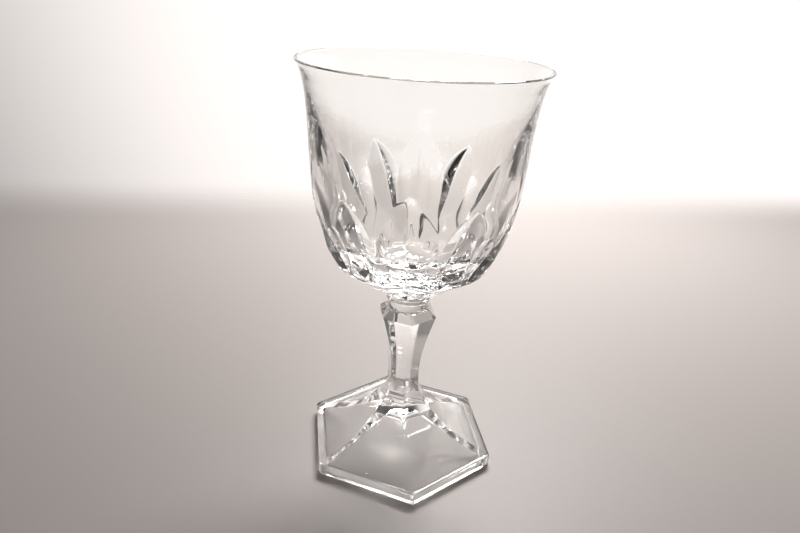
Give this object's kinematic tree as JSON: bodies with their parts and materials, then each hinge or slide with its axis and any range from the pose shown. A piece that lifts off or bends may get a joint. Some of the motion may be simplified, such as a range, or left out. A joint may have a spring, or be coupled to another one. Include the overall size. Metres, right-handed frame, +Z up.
{
  "type": "wine glass",
  "caption": "Stemmed wine glass: flared bowl with pressed leaf cuts, round collar, bevelled hexagonal stem and hexagonal foot hollowed underneath.",
  "frame": {"origin": "on the table, in the middle of the flat band that the foot stands on", "axes": "+Z up along the stem to the rim, -Y through one corner of the foot's hexagon, +X to the right of it"},
  "size_m": [0.0858, 0.0858, 0.1535],
  "materials": {
    "foot": "clear, fire polished",
    "stem": "clear, fire polished",
    "collar": "clear, fire polished",
    "bowl": "clear, fire polished"
  },
  "bodies": {
    "root": {"foot": "foot", "stem": "stem", "collar": "collar", "bowl": "bowl"}
  },
  "joints": []
}
